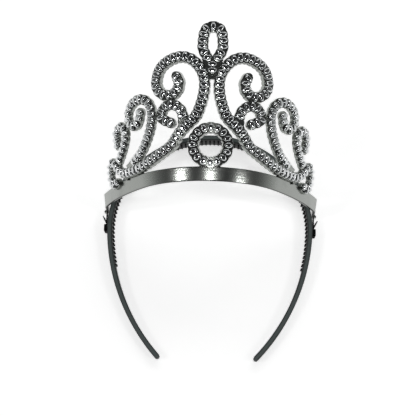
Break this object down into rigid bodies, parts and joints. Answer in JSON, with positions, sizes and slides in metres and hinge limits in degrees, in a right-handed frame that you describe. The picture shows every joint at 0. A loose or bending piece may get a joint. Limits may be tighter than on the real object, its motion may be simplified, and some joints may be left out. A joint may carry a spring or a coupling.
{
  "type": "mini crown headband",
  "caption": "Openwork chrome party crown with scrolls, centre ring and peak loop set with stones, clipped by its ends to a black toothed headband.",
  "frame": {"origin": "middle of the headband's back edge at the top of its loop, where it lies on the table", "axes": "+X to the right as seen from the front, which is the wearer's left; +Y from the loop towards the crown's peak; +Z away from the table, the way the crown's front faces"},
  "size_m": [0.1298, 0.1717, 0.0974],
  "materials": {
    "black_plastic": "satin",
    "chrome_plating": "mirror",
    "silver_stones": "mirror, faceted"
  },
  "bodies": {
    "root": {"headband": "black_plastic", "tiara_frame": "chrome_plating", "left_stones": "silver_stones", "right_stones": "silver_stones", "ring_stones": "silver_stones", "peak_stones": "silver_stones"}
  },
  "joints": []
}
